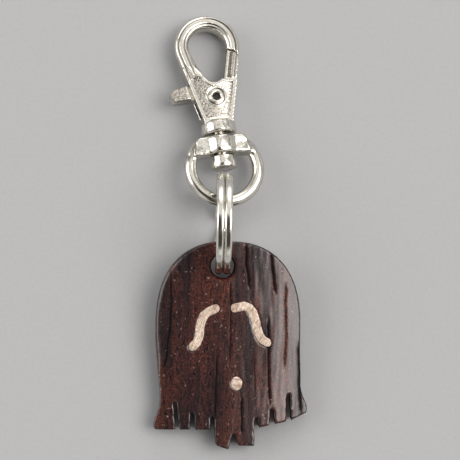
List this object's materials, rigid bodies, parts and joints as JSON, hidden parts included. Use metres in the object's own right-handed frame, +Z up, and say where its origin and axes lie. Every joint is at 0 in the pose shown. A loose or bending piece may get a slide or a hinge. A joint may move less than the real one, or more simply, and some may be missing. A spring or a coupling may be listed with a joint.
{
  "type": "keychain",
  "caption": "Carved dark wood pendant with pale inlays and a saw-cut fringe, on a split ring hung from a swivel snap hook with a sprung gate.",
  "frame": {"origin": "middle of the keychain's footprint, on the table it lies on", "axes": "+Y along the chain towards the hook, +Z up from the table, +X to the right seen from above"},
  "size_m": [0.0306, 0.0886, 0.02],
  "materials": {
    "nickel_cast": "nickel-plated zinc casting, bright with a grainy sunken web",
    "nickel_lever": "nickel-plated casting, tab face grainy",
    "spring_steel": "drawn spring wire",
    "nickel_rivet": "nickel-plated rolled tube",
    "nickel_stud": "nickel-plated turned pin, lightly brushed",
    "nickel_eye": "nickel-plated casting, hammered-looking shoulders",
    "ring_steel": "nickel-plated flattened spring wire",
    "dark_wood": "dark rosewood with red-brown streaks, open pores and a satin lacquer",
    "pale_wood": "pale beige wood or bone, satin"
  },
  "bodies": {
    "hook": {"hook_body": "nickel_cast", "pivot_rivet": "nickel_rivet", "swivel_stud": "nickel_stud", "gate_spring": "spring_steel"},
    "gate": {"gate_lever": "nickel_lever"},
    "eye": {"swivel_eye": "nickel_eye"},
    "ring": {"split_ring": "ring_steel"},
    "pendant": {"pendant": "dark_wood", "inlay_left": "pale_wood", "inlay_right": "pale_wood", "inlay_dot": "pale_wood"}
  },
  "joints": [
    {"name": "gate", "type": "hinge", "parent": "hook", "child": "gate", "pos_m": [-0.00415, 0.02646, 0.00384], "axis": [0.1041, 0.1206, 0.9872], "range_deg": [0, 30], "stiffness_Nm_per_rad": 0.02, "springref_deg": -20.05, "deforming": ["gate_spring"]},
    {"name": "swivel", "type": "hinge", "parent": "hook", "child": "eye", "pos_m": [-0.00204, 0.01205, 0.00537], "axis": [-0.1573, 0.9821, -0.1034], "continuous": true},
    {"name": "ring_swing", "type": "hinge", "parent": "eye", "child": "ring", "pos_m": [-0.00096, 0.00527, 0.00609], "axis": [0.982, 0.1445, -0.1212], "range_deg": [-30, 90]},
    {"name": "pendant_slide", "type": "hinge", "parent": "ring", "child": "pendant", "pos_m": [-0.00211, 0.00008, 0.01], "axis": [1, 0, 0], "range_deg": [-140, 45]}
  ]
}
